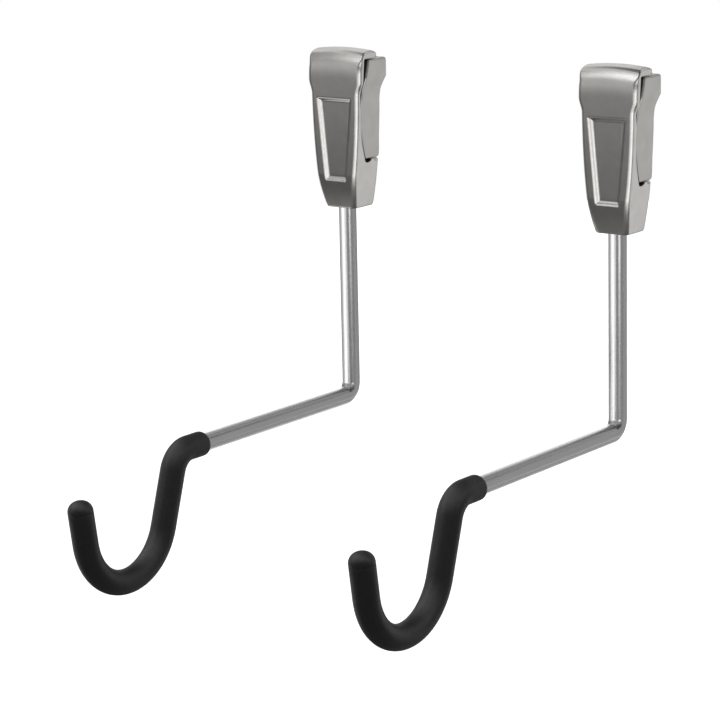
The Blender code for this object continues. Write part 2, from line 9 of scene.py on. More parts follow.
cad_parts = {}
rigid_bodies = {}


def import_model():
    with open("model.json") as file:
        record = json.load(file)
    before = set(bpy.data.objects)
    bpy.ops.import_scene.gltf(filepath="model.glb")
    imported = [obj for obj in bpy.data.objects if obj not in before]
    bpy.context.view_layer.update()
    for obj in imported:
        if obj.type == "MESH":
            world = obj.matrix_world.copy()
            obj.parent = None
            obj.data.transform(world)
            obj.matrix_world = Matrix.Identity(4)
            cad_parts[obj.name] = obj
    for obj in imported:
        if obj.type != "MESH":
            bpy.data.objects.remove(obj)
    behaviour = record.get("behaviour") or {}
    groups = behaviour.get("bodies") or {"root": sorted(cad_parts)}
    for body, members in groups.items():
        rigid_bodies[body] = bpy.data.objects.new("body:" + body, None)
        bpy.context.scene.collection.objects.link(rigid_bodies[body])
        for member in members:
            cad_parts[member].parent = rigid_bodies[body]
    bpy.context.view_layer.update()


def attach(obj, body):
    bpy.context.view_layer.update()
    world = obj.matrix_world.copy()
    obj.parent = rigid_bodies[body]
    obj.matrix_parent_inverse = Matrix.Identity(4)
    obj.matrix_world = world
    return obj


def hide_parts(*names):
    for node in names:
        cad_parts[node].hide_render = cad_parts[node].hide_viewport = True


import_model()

# Each hook is modelled in millimetres about its rod's axis at the head's underside:
# +x right, +y to the wall, +z up. A pair of heights or depths is where a form starts and ends.
MM = 0.001
HOOK_SPACING = 178.0
AXIS_Y = -12.2
FOOT_Z = -80.1
SIDES = {"left": -1, "right": 1}
CLEARANCE = 0.3

# The head's outline, seen from the front
FOOT_HALF = 10.2
SWELL_HALF = 15.85
SWELL_Z = 24.0
WAIST_HALF = 16.45
WAIST_Z = 66.0
FLANK_SLOPE = 0.6
FLANK_SLOPE_END = 40.0
SHOULDER = (65.0, 73.2)
BROW_HALF = 18.5
BROW_TOP_HALF = 18.4
BROW_TAPER = (76.0, 90.0)

# The head's front, seen from the side
FACE_Y = -11.0
CHIN_Z = 20.0
CHIN_SLOPE_DEPTH = 4.2
CHIN_CURL = 1.5
BROW_Z = 73.0
BROW_RUN = 15.0
BROW_SWEEP = 3.4
BROW_CURL = 3.2
BROW_CROWN = 1.2
TOP_Z = 90.8
TOP_Y = -0.5
TOP_SAG = 0.034
TOP_CROWN = 1.25

# How far the curves run on past the foot, the flanks and the ends of brow and chin
FLANK_LOW_Z = -20.0
ACROSS_LIMIT = 1.1
OVERRUN = 0.3

# The sunk panel on the head's front
PANEL_Z = (15.5, 63.8)
PANEL_LOW_HALF = 7.9
PANEL_HIGH_HALF = 12.7
PANEL_CORNER = 1.6
PANEL_BORDER = 3.4
PANEL_DEPTH = 1.95

# The head's back, seen from the side
LEDGE_Z = 28.0
BACK_Y = 12.2
LIP_Z = 85.3
LIP_BACK_Y = 6.7
LIP_FROM_Z = 60.0
WEDGE_Z = 58.0
WEDGE = math.radians(10.0)

# Radii on the head's edges and in its corners
SIDE_ROUND = 2.7
BROW_ROUND = 3.1
BROW_ROUND_Z = (64.0, 76.0)
TOP_EDGE_ROUND = 0.7
TOP_EDGE_Z = (81.0, 87.0)
TOP_CORNER_ROUND = 1.3
FOOT_ROUND = 1.2
LEDGE_ROUND = 1.0
LIP_ROUND = 0.6
WALL_FILLET = 0.3
LIP_FILLET = 1.0
HEEL_ROUND = 3.0
HEEL_EDGE = 1.0
LIP_BACK_ROUND = 3.6
REAR_ROUND = 0.6
BLOCK_ROUND_GAIN = 2.2
BLOCK_ROUND_Z = (LEDGE_Z - 1.0, LEDGE_Z + 2.0)
BLOCK_ROUND_Y = (6.0, 9.0)
LIP_ROUND_GAIN = 2.4
LIP_ROUND_Z = (LIP_Z - 0.3, LIP_Z + 1.5)
LIP_ROUND_Y = (3.0, 6.0)

# The head's column, the tooth under its lip and the notch in its ledge
COLUMN_HALF = 8.0
COLUMN_Y = (FACE_Y + 2.4, 9.2)
COLUMN_Z = (14.0, 71.0)
COLUMN_ROUND = 0.5
COLUMN_FILLET = 0.8
TOOTH_HALF = 7.0
TOOTH_Y = (4.4, 6.4)
TOOTH_Z = (83.6, 86.5)
TOOTH_ROUND = 0.3
NOTCH_RUN = 3.0
NOTCH_DEPTH = 1.7
NOTCH_EDGE = 0.4

# Bores; the cross pin's is open on the lever's left and ends within its right cheek
MOUTH_R = 5.7
MOUTH_CHAMFER = 0.7
MOUTH_DEPTH = 2.0
MOUTH_EDGE = 0.15
PIVOT_Y = 3.0
PIVOT_Z = 53.0
PIN_BORE_R = 2.3
PIN_HEAD_HALF = 9.0
PIN_LEVER_END = 14.14
PIN_EDGE = 0.2
SPRING_Z = 78.5
SPRING_BORE_R = 3.6
SEAT_DEPTH = 0.8
SEAT_BACK_Y = -1.6
SEAT_EDGE = 0.2
POCKET_BACK_Y = 3.0
LOCK_Z = 36.0
LOCK_BORE_R = 1.8
LOCK_FRONT_Y = -7.3
LOCK_EDGE = 0.25
SCREW_Z = 13.0
SCREW_BORE_R = 2.8
SCREW_EDGE = 0.3

# The lever
LEVER_FOOT_Z = 28.45
LEVER_TOP_Z = 84.7
LEVER_FOOT_Y = 1.6
LEVER_TOP_Y = 0.7
LEVER_BOW = 6.25
BOW_SKEW = 0.893
LIFT_Z = 62.0
LEVER_LIFT = 0.6
LIFT_CURL = 1.5
LEVER_FRONT_SLOPE = 1.04
NOSE_HALF = 18.0
NOSE_SHOULDER = (66.0, 75.5)
LEVER_INSET = 0.1
NOSE_BACK_Y = 15.8
NOSE_Z = 73.9
NECK_Z = 59.7
NECK_CURL = 2.1
NECK_SLOPE = 1.35
CHEEK_BACK_Y = 10.9
CHEEK_FOOT_Y = 11.6
CHEEK_FOOT_Z = (30.0, 42.0)
LEVER_FRONT_ROUND = 0.7
LEVER_BACK_ROUND = 1.7
LEVER_JOIN_ROUND = 0.01
CHEEK_ROUND = 0.8
NOSE_ROUND = 1.3
NOSE_ROUND_Z = (60.0, 76.0)
CHANNEL_HALF = 9.4
CHANNEL_TOP_Z = 72.4
CHANNEL_ROUND = 0.8
CHANNEL_EDGE = 0.3
GROOVE_Y = (TOOTH_Y[0] - CLEARANCE, 10.0)
GROOVE_Z = (83.0, 99.0)
LEVER_EDGE = 0.25

# The rod's route
ROD_R = 5.0
ROD_TOP = 43.0
ROD_DROP = 109.0
ELBOW_R = 8.0
ARM_REACH = 150.0
NECK_R = 14.0
NECK_TURN = math.radians(72)
NECK_RUN = 30.0
CRADLE_R = 32.5
CRADLE_TURN = math.radians(153)
TIP_RUN = 18.0

# The ends of the rod, the sleeve and its cap; their profiles are (distance, radius) pairs
ROD_CROWN = [(0.0, 4.4), (0.15, 4.75), (0.6, ROD_R)]
ROD_CROWN_END = 2.0
ROD_CHAMFER = 0.4
SLEEVE_R = 6.8
SLEEVE_BORE = 5.3
SLEEVE_OVERHANG = 12.0
SLEEVE_MOUTH = [(0.25, 5.32), (0.05, 5.5), (0.0, 5.8), (0.12, 6.15), (0.45, 6.45), (0.95, 6.67),
                (1.6, 6.78)]
SLEEVE_MOUTH_END = 2.4
RIM = 0.1
SEAM = 0.05
SEAM_RUN = 0.01
CAP_HEIGHT = 6.1
CAP_STEM = 3.5
DOME_STEPS = 17
DOME_POWER = 2 / 2.25

# The fineness of the meshes
CELL = 0.4
HEAD_GRID = ((-19.5, -12.5, -1.0), (19.5, 13.6, 92.8))
LEVER_GRID = ((-18.5, -9.5, 27.4), (18.5, 17.0, 86.0))
GRADIENT_REACH = 0.03
SETTLE_STEPS = 4
SETTLE_SHARE = 0.4
LEAST_SLOPE = 0.05
WELD_REACH = 0.01
TINY = 1e-9
SWEEP_SIDES = 48
BEND_STEP = math.radians(3)
RUN_STEPS = 4
STATION_MARGIN = 0.05
STATION_GAP = 0.02
END_MARGIN = 1.0
UV_PER_MM = 0.01

# Materials: the sockets of a Mix node, the middle band of a noise, and how far roughness varies
MIX_FACTOR, MIX_DARK, MIX_LIGHT, MIX_RESULT = 0, 6, 7, 2
NOISE_BAND = (0.3, 0.7)
ROUGH_LESS = 0.03
ROUGH_MORE = 0.04

# The studio, in metres and degrees
LIGHT_AIM = Vector((0, -0.08, -0.1))
FLOOR_PLACE = (0, -0.1, -0.32)
FLOOR_RADIUS = 1.6
FLOOR_SIDES = 64
FLOOR_GLOW = 0.8
FILL_STRENGTH = 0.09
CAM_AZIMUTH = 35.93
CAM_ELEVATION = 12.34
CAM_ROLL = math.radians(-1.17)
CAM_PLACE = (0.9030, -1.3721, 0.1988)
CAM_LENS = 150.0
CAM_SENSOR = 36.0


# Solid fields: each gives about the distance to its surface, below 0 inside
def meet(a, b, radius):
    """The solid common to two fields, with its outer edge rounded."""
    return (np.minimum(-radius, np.maximum(a, b))
            + np.hypot(np.maximum(radius + a, 0), np.maximum(radius + b, 0)))


def join(a, b, radius):
    """Both solids as one, with a fillet in the corner between them."""
    return -meet(-a, -b, radius)


def cut(a, b, radius):
    """The first solid without the second."""
    return meet(a, -b, radius)


def block(x, y, z, half_x, y_span, z_span, radius):
    """A block about the middle plane, with round edges."""
    across = np.abs(x) - half_x
    deep = np.maximum(y_span[0] - y, y - y_span[1])
    high = np.maximum(z_span[0] - z, z - z_span[1])
    return meet(meet(across, deep, radius), high, radius)


def hole(a, b, radius, end):
    """A round hole about the line where a and b are 0; end is below 0 within its length."""
    return np.maximum(np.hypot(a, b) - radius, end)


def ease(value, start, end):
    """Smooth step from 0 at start to 1 at end."""
    t = np.clip((value - start) / (end - start), 0, 1)
    return t * t * (3 - 2 * t)


def blend(value, span, first, last):
    """From first to last while value crosses the span."""
    return first + (last - first) * ease(value, *span)


def crown(x):
    """0 in the middle of the head and 1 at the brow's sides."""
    return np.clip(x / BROW_HALF, -ACROSS_LIMIT, ACROSS_LIMIT) ** 2


def flank(z, top_half, shoulder):
    """Half width at a height: a curve from foot to waist that bows out towards the swell, and
    the shoulder above it."""
    linear = 2 * SWELL_Z
    square = WAIST_Z - 2 * SWELL_Z
    climb = np.clip(z, FLANK_LOW_Z, WAIST_Z)
    t = (np.sqrt(linear ** 2 + 4 * square * climb) - linear) / (2 * square)
    low = FOOT_HALF + 2 * (SWELL_HALF - FOOT_HALF) * t
    low = low + (FOOT_HALF - 2 * SWELL_HALF + WAIST_HALF) * t * t
    return low + (top_half - WAIST_HALF) * ease(z, *shoulder)


def flank_distance(x, z, half):
    """Distance beyond the flanks, which slope most near the foot."""
    slope = FLANK_SLOPE * np.clip(1 - z / FLANK_SLOPE_END, 0, 1)
    return (np.abs(x) - half) / np.sqrt(1 + slope ** 2)


def lever_front(z):
    """Depth of the lever's bowed front at a height."""
    t = np.clip((z - LEVER_FOOT_Z) / (LEVER_TOP_Z - LEVER_FOOT_Z), 0, 1)
    straight = LEVER_FOOT_Y + (LEVER_TOP_Y - LEVER_FOOT_Y) * t
    lift = np.clip((z - LIFT_Z) / (LEVER_TOP_Z - LIFT_Z), 0, 1) ** LIFT_CURL
    return -straight - LEVER_BOW * np.sin(np.pi * t ** BOW_SKEW) - LEVER_LIFT * lift


def wall_back(z):
    """The front wall's back: the lever's front, with its throw and clearance."""
    throw = np.maximum(0, z - WEDGE_Z) * math.tan(WEDGE)
    return lever_front(z) - throw - CLEARANCE


def recess(x, z):
    """How deep the sunk panel lies below the front face; its border is an S-shaped step."""
    bottom, top = PANEL_Z
    lean = (PANEL_HIGH_HALF - PANEL_LOW_HALF) / (top - bottom)
    side = (np.abs(x) - PANEL_LOW_HALF - (z - bottom) * lean) / math.hypot(1, lean)
    ends = np.maximum(bottom - z, z - top)
    t = np.clip(-meet(side, ends, PANEL_CORNER) / PANEL_BORDER, 0, 1)
    return PANEL_DEPTH * t ** 3 * (10 - 15 * t + 6 * t * t)


def front_face(x, z):
    """Depth of the head's front: chin, flat face and the brow that leans back."""
    share = np.clip((CHIN_Z - z) / CHIN_Z, 0, 1 + OVERRUN)
    rise = (z + BROW_CROWN * crown(x) - BROW_Z) / BROW_RUN
    lean = np.clip(rise, 0, 1) ** BROW_CURL + BROW_CURL * np.clip(rise - 1, 0, OVERRUN)
    return FACE_Y + CHIN_SLOPE_DEPTH * share ** CHIN_CURL + BROW_SWEEP * lean + recess(x, z)


def head_shell(x, y, z, top):
    """The head's outside: front, flanks, crowned top and underside."""
    brow_half = blend(z, BROW_TAPER, BROW_HALF, BROW_TOP_HALF)
    flanks = flank_distance(x, z, flank(z, brow_half, SHOULDER))
    over = (z - top) / np.sqrt(1 + (2 * TOP_SAG * (y - TOP_Y)) ** 2)
    outline = meet(flanks, over, TOP_CORNER_ROUND)
    lean = np.clip(z - BROW_Z, 0, BROW_RUN) / BROW_RUN
    steep = BROW_CURL * BROW_SWEEP / BROW_RUN * lean ** (BROW_CURL - 1)
    face = (front_face(x, z) - y) / np.sqrt(1 + steep ** 2)
    side_round = blend(z, BROW_ROUND_Z, SIDE_ROUND, BROW_ROUND)
    edge = blend(z, TOP_EDGE_Z, side_round, TOP_EDGE_ROUND)
    return meet(meet(face, outline, edge), -z, FOOT_ROUND)


def head_section(y, z):
    """The head's back, seen from the side: lower block, front wall and lip."""
    lower = meet(z - LEDGE_Z, y - BACK_Y, LEDGE_ROUND)
    wall = y - wall_back(z)
    lip = meet(LIP_Z - z, y - LIP_BACK_Y, LIP_ROUND)
    return join(join(lower, wall, WALL_FILLET), lip, LIP_FILLET)


def rear_round(y, z):
    """Radius of the edges between flanks and back: larger on the lower block and the lip."""
    on_block = (1 - ease(z, *BLOCK_ROUND_Z)) * ease(y, *BLOCK_ROUND_Y)
    on_lip = ease(z, *LIP_ROUND_Z) * ease(y, *LIP_ROUND_Y)
    return REAR_ROUND + BLOCK_ROUND_GAIN * on_block + LIP_ROUND_GAIN * on_lip


def bore_head(solid, x, y, z):
    """The head with its bores for rod, cross pin, spring, lock pin and set screw."""
    bore = hole(x, y, ROD_R + CLEARANCE, z - ROD_TOP - CLEARANCE)
    flare = MOUTH_R + np.maximum(0, MOUTH_CHAMFER - z)
    mouth = hole(x, y, flare, z - MOUTH_DEPTH)
    solid = cut(solid, np.minimum(bore, mouth), MOUTH_EDGE)
    pin = hole(y - PIVOT_Y, z - PIVOT_Z, PIN_BORE_R, np.abs(x) - PIN_HEAD_HALF)
    solid = cut(solid, pin, PIN_EDGE)
    seat_depth = np.maximum(wall_back(SPRING_Z) - SEAT_DEPTH - y, y - SEAT_BACK_Y)
    solid = cut(solid, hole(x, z - SPRING_Z, SPRING_BORE_R, seat_depth), SEAT_EDGE)
    lock = hole(x, z - LOCK_Z, LOCK_BORE_R, LOCK_FRONT_Y - y)
    solid = cut(solid, lock, LOCK_EDGE)
    return cut(solid, hole(x, z - SCREW_Z, SCREW_BORE_R, -y), SCREW_EDGE)


def head_field(x, y, z):
    """The cast head: shell, lip, column, tooth and notch, then the bores."""
    top = TOP_Z - TOP_SAG * (y - TOP_Y) ** 2 - TOP_CROWN * crown(x)
    solid = meet(head_shell(x, y, z, top), head_section(y, z), rear_round(y, z))
    solid = meet(solid, meet(-z, y - BACK_Y, HEEL_ROUND), HEEL_EDGE)
    lip_back = meet(z - top, y - LIP_BACK_Y, LIP_BACK_ROUND)
    solid = np.where(z > LIP_FROM_Z, np.maximum(solid, lip_back), solid)

    column = block(x, y, z, COLUMN_HALF, COLUMN_Y, COLUMN_Z, COLUMN_ROUND)
    solid = join(solid, column, COLUMN_FILLET)
    tooth = block(x, y, z, TOOTH_HALF, TOOTH_Y, TOOTH_Z, TOOTH_ROUND)
    solid = join(solid, tooth, TOOTH_ROUND)
    deep = (y - wall_back(LEDGE_Z) - NOTCH_RUN) / NOTCH_RUN
    notch = np.hypot(deep, (z - LEDGE_Z) / NOTCH_DEPTH) - 1
    solid = cut(solid, notch * NOTCH_DEPTH, NOTCH_EDGE)
    return bore_head(solid, x, y, z)


def lever_back(z):
    """Depth of the lever's back: nose block, neck and cheeks."""
    reach = np.clip((NOSE_Z - z) / (NOSE_Z - NECK_Z), 0, 1)
    neck = NOSE_BACK_Y - (NOSE_BACK_Y - CHEEK_BACK_Y) * (1 - (1 - reach) ** NECK_CURL)
    return neck + blend(z, CHEEK_FOOT_Z, CHEEK_FOOT_Y - CHEEK_BACK_Y, 0)


def lever_field(x, y, z):
    """The latch lever: nose block and cheeks about a channel for the column, then the bores."""
    flanks = flank_distance(x, z, flank(z, NOSE_HALF, NOSE_SHOULDER) - LEVER_INSET)
    front = (lever_front(z) - y) / LEVER_FRONT_SLOPE
    in_neck = (z > NECK_Z) & (z < NOSE_Z)
    rear = (y - lever_back(z)) / np.where(in_neck, NECK_SLOPE, 1.0)
    ends = np.maximum(LEVER_FOOT_Z - z, z - LEVER_TOP_Z)
    front = meet(front, ends, LEVER_FRONT_ROUND)
    rear = meet(rear, ends, LEVER_BACK_ROUND)
    section = meet(front, rear, LEVER_JOIN_ROUND)
    solid = meet(section, flanks, blend(z, NOSE_ROUND_Z, CHEEK_ROUND, NOSE_ROUND))

    channel = meet(np.abs(x) - CHANNEL_HALF, z - CHANNEL_TOP_Z, CHANNEL_ROUND)
    solid = cut(solid, channel, CHANNEL_EDGE)
    pocket = hole(x, z - SPRING_Z, SPRING_BORE_R, y - POCKET_BACK_Y)
    solid = cut(solid, pocket, LEVER_EDGE)
    groove = block(x, y, z, TOOTH_HALF + CLEARANCE, GROOVE_Y, GROOVE_Z, TOOTH_ROUND)
    solid = cut(solid, groove, LEVER_EDGE)
    pin = hole(y - PIVOT_Y, z - PIVOT_Z, PIN_BORE_R, x - PIN_LEVER_END)
    return cut(solid, pin, LEVER_EDGE)


# Meshes from fields
def gradient(field, points):
    """The field's slope along each axis at each point."""
    out = np.empty_like(points)
    for axis in range(3):
        step = np.zeros(3)
        step[axis] = GRADIENT_REACH
        ahead = field(*(points + step).T)
        behind = field(*(points - step).T)
        out[:, axis] = (ahead - behind) / (2 * GRADIENT_REACH)
    return out


def along(axis, own, second=slice(None), third=slice(None)):
    """A grid index with one slice for an axis and one for each of the two that follow it."""
    parts = {axis: own, (axis + 1) % 3: second, (axis + 2) % 3: third}
    return tuple(parts[i] for i in range(3))


def grid_crossings(values):
    """For each axis, the grid edges that the surface crosses, where, and which start inside."""
    found = []
    for axis in range(3):
        start = values[along(axis, slice(0, -1))]
        end = values[along(axis, slice(1, None))]
        crossed = (start < 0) != (end < 0)
        share = np.where(crossed, start / np.where(crossed, start - end, 1), 0)
        found.append((crossed, share, start < 0))
    return found


def cell_points(crossings, shape):
    """One point in each cell that the surface crosses: the mean of its crossings."""
    count = np.zeros(shape)
    total = np.zeros(shape + (3,))
    for axis, (crossed, share, _) in enumerate(crossings):
        u, v = (axis + 1) % 3, (axis + 2) % 3
        for du, dv in ((0, 0), (0, 1), (1, 0), (1, 1)):
            window = along(axis, slice(None), slice(du, du + shape[u]), slice(dv, dv + shape[v]))
            count += crossed[window]
            total[..., axis] += share[window]
            total[..., u] += crossed[window] * du
            total[..., v] += crossed[window] * dv
    active = count > 0
    number = np.full(shape, -1)
    number[active] = np.arange(active.sum())
    return number, np.argwhere(active) + total[active] / count[active][:, None]


def cell_quads(crossings, number):
    """A face about each crossed grid edge, on the points of its four cells, turned outwards."""
    shape = number.shape
    quads = []
    for axis, (crossed, _, inside) in enumerate(crossings):
        u, v = (axis + 1) % 3, (axis + 2) % 3
        spot = np.argwhere(crossed)
        spot = spot[(spot[:, [u, v]] > 0).all(axis=1)]
        spot = spot[(spot[:, [u, v]] < (shape[u], shape[v])).all(axis=1)]
        corners = []
        for du, dv in ((-1, -1), (0, -1), (0, 0), (-1, 0)):
            cell = spot.copy()
            cell[:, u] += du
            cell[:, v] += dv
            corners.append(number[tuple(cell.T)])
        quad = np.stack(corners, axis=1)
        outward = inside[tuple(spot.T)]
        quad[~outward] = quad[~outward][:, ::-1]
        quads.append(quad)
    return np.concatenate(quads)


def settle(field, points):
    """The points moved onto the field's surface, by less than half a cell in a step."""
    for _ in range(SETTLE_STEPS):
        slope = gradient(field, points)
        steep = np.maximum((slope ** 2).sum(axis=1), LEAST_SLOPE)
        move = -(field(*points.T) / steep)[:, None] * slope
        length = np.linalg.norm(move, axis=1, keepdims=True)
        points = points + move * np.minimum(1, SETTLE_SHARE * CELL / np.maximum(length, TINY))
    return points


def weld(points, quads):
    """The mesh without its shortest edges, and without the faces that they close."""
    ends = np.concatenate([quads[:, [i, (i + 1) % 4]] for i in range(4)])
    gap = np.linalg.norm(points[ends[:, 0]] - points[ends[:, 1]], axis=1)
    target = np.arange(len(points))
    for a, b in ends[gap < WELD_REACH]:
        low, high = sorted((target[a], target[b]))
        target[target == high] = low
    rings = [[p for i, p in enumerate(ring) if p != ring[i - 1]] for ring in target[quads].tolist()]
    rings = [ring for ring in rings if len(ring) > 2]
    used = np.unique(np.concatenate(rings))
    number = np.zeros(len(points), int)
    number[used] = np.arange(len(used))
    return points[used], [[int(number[p]) for p in ring] for ring in rings]


def smooth_mesh(name, points, faces):
    """A smoothly shaded mesh from points in millimetres."""
    mesh = bpy.data.meshes.new(name)
    mesh.from_pydata((points * MM).tolist(), [], faces)
    mesh.polygons.foreach_set("use_smooth", [True] * len(mesh.polygons))
    return mesh


def skin(name, field, grid):
    """The field's zero surface as a mesh of even quads, with the field's own normals."""
    axes = [np.arange(low, high + CELL, CELL) for low, high in zip(*grid)]
    values = field(*np.meshgrid(*axes, indexing="ij"))
    crossings = grid_crossings(values)
    number, places = cell_points(crossings, tuple(n - 1 for n in values.shape))
    points = settle(field, places * CELL + np.array(grid[0]))
    points, faces = weld(points, cell_quads(crossings, number))
    normals = gradient(field, points)
    normals /= np.maximum(np.linalg.norm(normals, axis=1, keepdims=True), TINY)
    mesh = smooth_mesh(name, points, faces)
    mesh.normals_split_custom_set_from_vertices(normals.tolist())
    mesh.update()
    return mesh


# Round bars along the rod's route
def bend(radius, turn):
    """Length and turn of a bend; a turn above 0 swings from down to the front."""
    return radius * abs(turn), turn


# Each part of the route: its length and how far it turns, from the rod's top end
ROUTE = [(ROD_TOP + ROD_DROP - ELBOW_R, 0), bend(ELBOW_R, math.pi / 2),
         (ARM_REACH - ELBOW_R, 0), bend(NECK_R, -NECK_TURN), (NECK_RUN, 0),
         bend(CRADLE_R, CRADLE_TURN), (TIP_RUN, 0)]
ROUTE_END = sum(length for length, _ in ROUTE)
ARM_END = sum(length for length, _ in ROUTE[:3])
SLEEVE_START = ARM_END - SLEEVE_OVERHANG


def heading_vector(heading):
    """Direction (y, z) of travel: heading 0 is down and a right angle is to the front."""
    return np.array([-math.sin(heading), -math.cos(heading)])


def route_at(distance):
    """Point (y, z) and heading of the rod's centre line at a distance from its top end."""
    place = np.array([0.0, ROD_TOP])
    heading = 0.0
    for length, turn in ROUTE:
        part = min(distance, length)
        half_swing = turn * part / length / 2
        chord = part * np.sinc(half_swing / math.pi)
        place = place + chord * heading_vector(heading + half_swing)
        heading += 2 * half_swing
        distance -= part
        if distance <= 0:
            return place, heading
    return place + distance * heading_vector(heading), heading


def route_stations(start, end):
    """Distances between start and end: close together in bends, far apart in runs."""
    marks = []
    at = 0.0
    for length, turn in ROUTE:
        steps = math.ceil(abs(turn) / BEND_STEP) or RUN_STEPS
        marks += [at + length * i / steps for i in range(steps + 1)]
        at += length
    marks = [m for m in marks if start + STATION_MARGIN < m < end - STATION_MARGIN]
    marks = [start] + sorted(marks) + [end]
    return [m for i, m in enumerate(marks) if i == 0 or m - marks[i - 1] > STATION_GAP]


def sweep(name, profile, closed=False):
    """A round bar along the route; profile holds (distance, radius) from end to end."""
    sides = SWEEP_SIDES
    points = []
    for distance, radius in profile:
        (y, z), heading = route_at(distance)
        for j in range(sides):
            angle = j * 2 * math.pi / sides
            out = radius * math.cos(angle)
            points.append((radius * math.sin(angle), y - math.cos(heading) * out,
                           z + math.sin(heading) * out))
    marks = [distance * UV_PER_MM for distance, _ in profile]
    rings = len(profile)
    faces, uvs = [], []
    for i in range(rings if closed else rings - 1):
        n = (i + 1) % rings
        for j in range(sides):
            k = (j + 1) % sides
            faces.append((i * sides + j, n * sides + j, n * sides + k, i * sides + k))
            for ring, turn in ((i, j), (n, j), (n, j + 1), (i, j + 1)):
                uvs.append((turn / sides, marks[ring]))
    if not closed:
        faces.append(tuple(range(sides)))
        uvs += [(j / sides, marks[0]) for j in range(sides)]
        faces.append(tuple((rings - 1) * sides + j for j in reversed(range(sides))))
        uvs += [(j / sides, marks[-1]) for j in reversed(range(sides))]
    mesh = smooth_mesh(name, np.array(points), faces)
    layer = mesh.uv_layers.new(name="along")
    layer.data.foreach_set("uv", np.array(uvs).ravel())
    mesh.validate()
    return mesh


def rod_profile():
    """From the rounded top in the head to the chamfered end in the cap."""
    end = ROUTE_END - CAP_STEM - CLEARANCE
    shaft = [(d, ROD_R) for d in route_stations(ROD_CROWN_END, end - END_MARGIN)]
    return ROD_CROWN + shaft + [(end - ROD_CHAMFER, ROD_R), (end, ROD_R - ROD_CHAMFER)]


def sleeve_profile():
    """Round the wall of the sleeve: its mouth, outside, end and bore."""
    mouth = [(SLEEVE_START + d, r) for d, r in SLEEVE_MOUTH]
    outside = route_stations(SLEEVE_START + SLEEVE_MOUTH_END, ROUTE_END - 2 * RIM)
    bore = route_stations(SLEEVE_START + END_MARGIN, ROUTE_END - RIM)
    end = [(ROUTE_END, SLEEVE_R - RIM), (ROUTE_END, SLEEVE_BORE + RIM)]
    return (mouth + [(d, SLEEVE_R) for d in outside] + end
            + [(d, SLEEVE_BORE) for d in reversed(bore)])


def cap_profile():
    """The stem in the sleeve's bore, the rim on the sleeve's end and the dome."""
    stem = ROUTE_END - CAP_STEM
    seat = ROUTE_END + SEAM
    dome = seat + SEAM_RUN + RIM
    profile = [(stem, ROD_R - ROD_CHAMFER), (stem + ROD_CHAMFER, ROD_R), (seat, ROD_R),
               (seat + SEAM_RUN, SLEEVE_R - RIM), (dome, SLEEVE_R)]
    for step in range(1, DOME_STEPS):
        angle = math.pi / 2 * step / DOME_STEPS
        rise = math.sin(angle) ** DOME_POWER
        profile.append((dome + (CAP_HEIGHT + RIM) * rise, SLEEVE_R * math.cos(angle) ** DOME_POWER))
    return profile


# Materials
def new_material(name):
    """A material, its node tree and its shader."""
    material = bpy.data.materials.new(name)
    material.use_nodes = True
    return material, material.node_tree, material.node_tree.nodes["Principled BSDF"]


def coordinates(tree, kind):
    """The Object or UV coordinates of the surface."""
    return tree.nodes.new("ShaderNodeTexCoord").outputs[kind]


def speckle(tree, source, scale, low, high, detail=3.0, stretch=(1, 1, 1)):
    """A noise that runs between two values."""
    mapping = tree.nodes.new("ShaderNodeMapping")
    mapping.inputs["Scale"].default_value = stretch
    tree.links.new(source, mapping.inputs["Vector"])
    noise = tree.nodes.new("ShaderNodeTexNoise")
    noise.inputs["Scale"].default_value = scale
    noise.inputs["Detail"].default_value = detail
    tree.links.new(mapping.outputs["Vector"], noise.inputs["Vector"])
    band = tree.nodes.new("ShaderNodeMapRange")
    band.inputs["From Min"].default_value = NOISE_BAND[0]
    band.inputs["From Max"].default_value = NOISE_BAND[1]
    band.inputs["To Min"].default_value = low
    band.inputs["To Max"].default_value = high
    tree.links.new(noise.outputs["Fac"], band.inputs["Value"])
    return band.outputs["Result"]


def tint(tree, factor, dark, light, shader):
    """Colours the shader between dark and light."""
    mix = tree.nodes.new("ShaderNodeMix")
    mix.data_type = "RGBA"
    mix.inputs[MIX_DARK].default_value = (*dark, 1)
    mix.inputs[MIX_LIGHT].default_value = (*light, 1)
    tree.links.new(factor, mix.inputs[MIX_FACTOR])
    tree.links.new(mix.outputs[MIX_RESULT], shader.inputs["Base Color"])


def relief(tree, height, shader, strength, distance):
    """Fine bumps, distance high in metres."""
    bump = tree.nodes.new("ShaderNodeBump")
    bump.inputs["Strength"].default_value = strength
    bump.inputs["Distance"].default_value = distance
    tree.links.new(height, bump.inputs["Height"])
    tree.links.new(bump.outputs["Normal"], shader.inputs["Normal"])


def cast_metal(name, light, dark, rough):
    """Satin plating on a casting: faint clouds and a fine grain."""
    cloud_scale, patch_scale, grain_scale = 140, 900, 2600
    material, tree, shader = new_material(name)
    shader.inputs["Metallic"].default_value = 1.0
    place = coordinates(tree, "Object")
    tint(tree, speckle(tree, place, cloud_scale, 0, 1), dark, light, shader)
    patches = speckle(tree, place, patch_scale, rough - ROUGH_LESS, rough + ROUGH_MORE)
    tree.links.new(patches, shader.inputs["Roughness"])
    relief(tree, speckle(tree, place, grain_scale, 0, 1), shader, strength=0.03, distance=0.0001)
    return material


